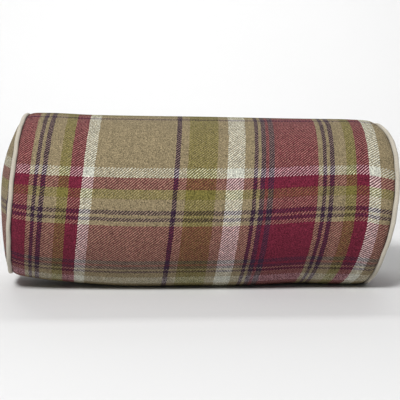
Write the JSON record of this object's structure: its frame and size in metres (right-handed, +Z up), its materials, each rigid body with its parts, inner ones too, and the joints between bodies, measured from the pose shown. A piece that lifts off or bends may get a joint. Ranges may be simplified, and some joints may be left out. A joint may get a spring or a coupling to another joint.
{
  "type": "bolster cushion",
  "caption": "Round bolster cushion in a woven wool-look check, with filled domed ends and plain piping sewn round each end seam, lying on a pressed-flat base.",
  "frame": {"origin": "middle of the object's box in X and Y, on the surface that the cushion lies on", "axes": "+X along the cushion's length, toward its right end in the picture; +Y away from the viewer; +Z up"},
  "size_m": [0.4612, 0.2022, 0.2019],
  "materials": {
    "check_cloth": "brushed twill cloth woven in a large check of tan, olive, berry, ivory and aubergine",
    "piping_cloth": "plain stone-coloured woven cloth over a soft cord"
  },
  "bodies": {
    "root": {"bolster_body": "check_cloth", "end_panel_left": "check_cloth", "end_panel_right": "check_cloth", "piping_left": "piping_cloth", "piping_right": "piping_cloth"}
  },
  "joints": []
}
